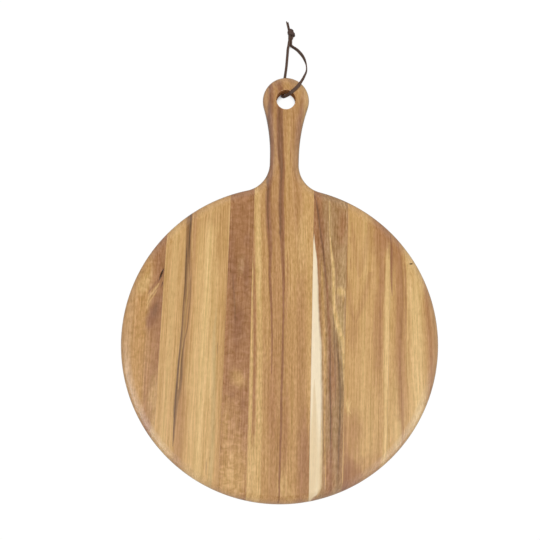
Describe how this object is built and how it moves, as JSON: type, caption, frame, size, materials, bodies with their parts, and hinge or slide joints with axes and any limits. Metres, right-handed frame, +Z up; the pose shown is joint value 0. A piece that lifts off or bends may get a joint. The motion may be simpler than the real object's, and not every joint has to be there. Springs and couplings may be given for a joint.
{
  "type": "serving board",
  "caption": "Round wooden serving board of edge-glued acacia staves, with a rounded paddle handle, a hanging hole in its end and a knotted leather lace.",
  "frame": {"origin": "centre of the round, on the flat underside that rests on the table", "axes": "+Z up out of the serving face, +Y from the round towards the end of the handle, +X to the right when the handle points away from the user"},
  "size_m": [0.35, 0.5367, 0.0196],
  "materials": {
    "acacia_amber": "satin, lightly oiled",
    "acacia_golden": "satin, lightly oiled",
    "acacia_umber": "satin, lightly oiled",
    "acacia_striped": "satin, lightly oiled",
    "acacia_sapwood": "satin, lightly oiled",
    "acacia_honey": "satin, lightly oiled",
    "acacia_russet": "satin, lightly oiled",
    "wood_glue": "cured glue line",
    "leather_lace": "matt dark brown thong"
  },
  "bodies": {
    "board": {"stave_1": "acacia_amber", "stave_2": "acacia_golden", "stave_3": "acacia_umber", "stave_4": "acacia_striped", "stave_5": "acacia_sapwood", "stave_6": "acacia_honey", "stave_7": "acacia_russet", "glue_line_1": "wood_glue", "glue_line_2": "wood_glue", "glue_line_3": "wood_glue", "glue_line_4": "wood_glue", "glue_line_5": "wood_glue", "glue_line_6": "wood_glue"},
    "lace": {"lace_front": "leather_lace", "lace_back": "leather_lace", "lace_knot": "leather_lace", "lace_tail_long": "leather_lace", "lace_tail_short": "leather_lace"}
  },
  "joints": [
    {"name": "lace_swing", "type": "hinge", "parent": "board", "child": "lace", "pos_m": [0, 0.27, 0.009], "axis": [0, 0, 1], "range_deg": [-60, 60]}
  ]
}
